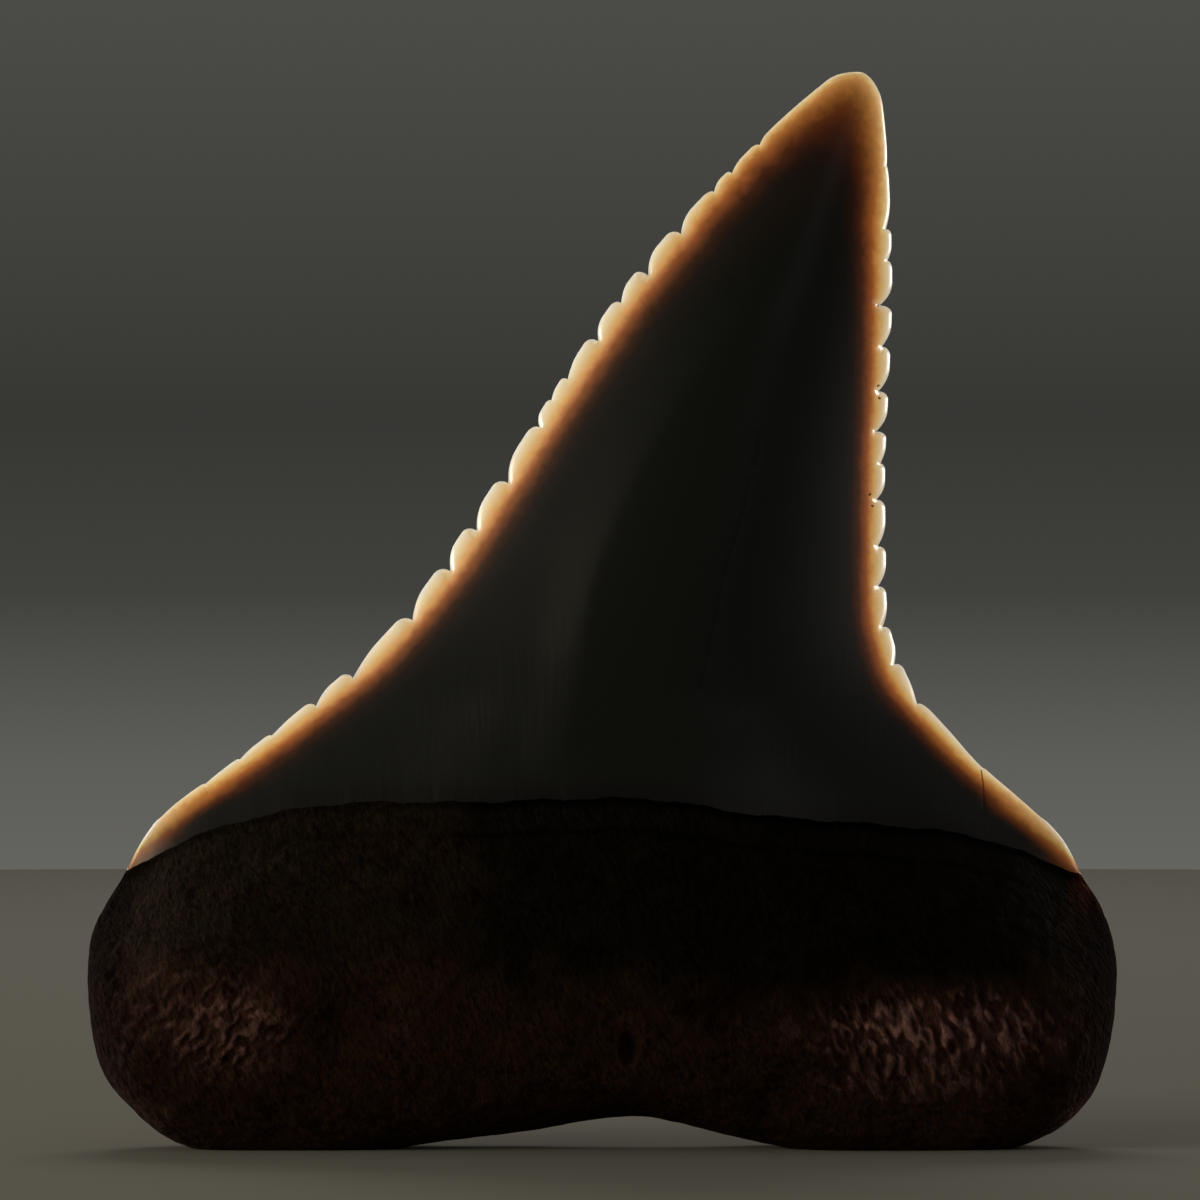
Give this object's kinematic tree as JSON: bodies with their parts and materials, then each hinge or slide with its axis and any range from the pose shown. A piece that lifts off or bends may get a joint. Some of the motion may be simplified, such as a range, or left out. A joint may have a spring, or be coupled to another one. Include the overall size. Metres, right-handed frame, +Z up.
{
  "type": "fossil great white shark tooth",
  "caption": "Broad triangular fossil shark tooth with a leaning, coarsely serrated crown and a thick two-lobed root on which it stands.",
  "frame": {"origin": "on the resting plane, under the middle of the tooth's box", "axes": "+Z up to the tip of the crown, +X to the distal side, towards which the crown leans, -Y out of the lingual face with the bulging root"},
  "size_m": [0.0382, 0.0082, 0.0401],
  "materials": {
    "fossil_tooth": "dark olive enamel with a satin gloss and a translucent cream to amber rim, over a matt, pitted, reddish brown root"
  },
  "bodies": {
    "root": {"tooth": "fossil_tooth"}
  },
  "joints": []
}
